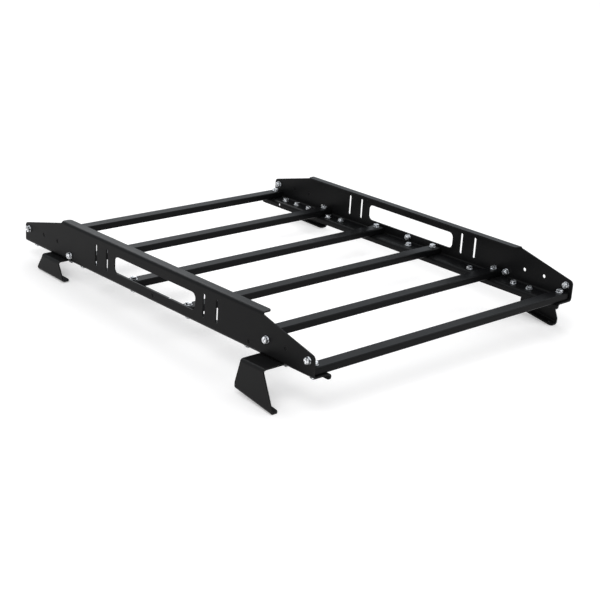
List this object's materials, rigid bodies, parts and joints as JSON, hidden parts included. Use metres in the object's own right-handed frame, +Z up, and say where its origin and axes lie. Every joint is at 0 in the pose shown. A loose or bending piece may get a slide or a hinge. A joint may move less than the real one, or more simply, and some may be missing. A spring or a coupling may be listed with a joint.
{
  "type": "roof rack",
  "caption": "Low open roof rack: bent sheet side plates with windows and strap slots, flat crossbars between them and bent sheet feet that bolt to a roof.",
  "frame": {"origin": "on the floor under the middle of the rack's box", "axes": "+X to the right across the rack, +Y towards the front along the side plates, +Z up; the deck leans nose down because the rear feet are the longer ones"},
  "size_m": [1.094, 1.2512, 0.2103],
  "materials": {
    "side_plate_coat": "satin black powder coat",
    "crossbar_coat": "satin black powder coat",
    "foot_coat": "satin black powder coat",
    "bright_zinc": "bright zinc plate"
  },
  "bodies": {
    "root": {"side_plate_left": "side_plate_coat", "side_plate_right": "side_plate_coat", "crossbar_1": "crossbar_coat", "crossbar_2": "crossbar_coat", "crossbar_3": "crossbar_coat", "crossbar_4": "crossbar_coat", "crossbar_5": "crossbar_coat", "crossbar_6": "crossbar_coat", "foot_front_left": "foot_coat", "foot_front_right": "foot_coat", "foot_rear_left": "foot_coat", "foot_rear_right": "foot_coat", "crossbar_bolts_left": "bright_zinc", "crossbar_bolts_right": "bright_zinc", "foot_bolts_front_left": "bright_zinc", "foot_bolts_front_right": "bright_zinc", "foot_bolts_rear_left": "bright_zinc", "foot_bolts_rear_right": "bright_zinc", "ledge_bolts_left": "bright_zinc", "ledge_bolts_right": "bright_zinc", "plate_bolts_left": "bright_zinc", "plate_bolts_right": "bright_zinc"}
  },
  "joints": []
}
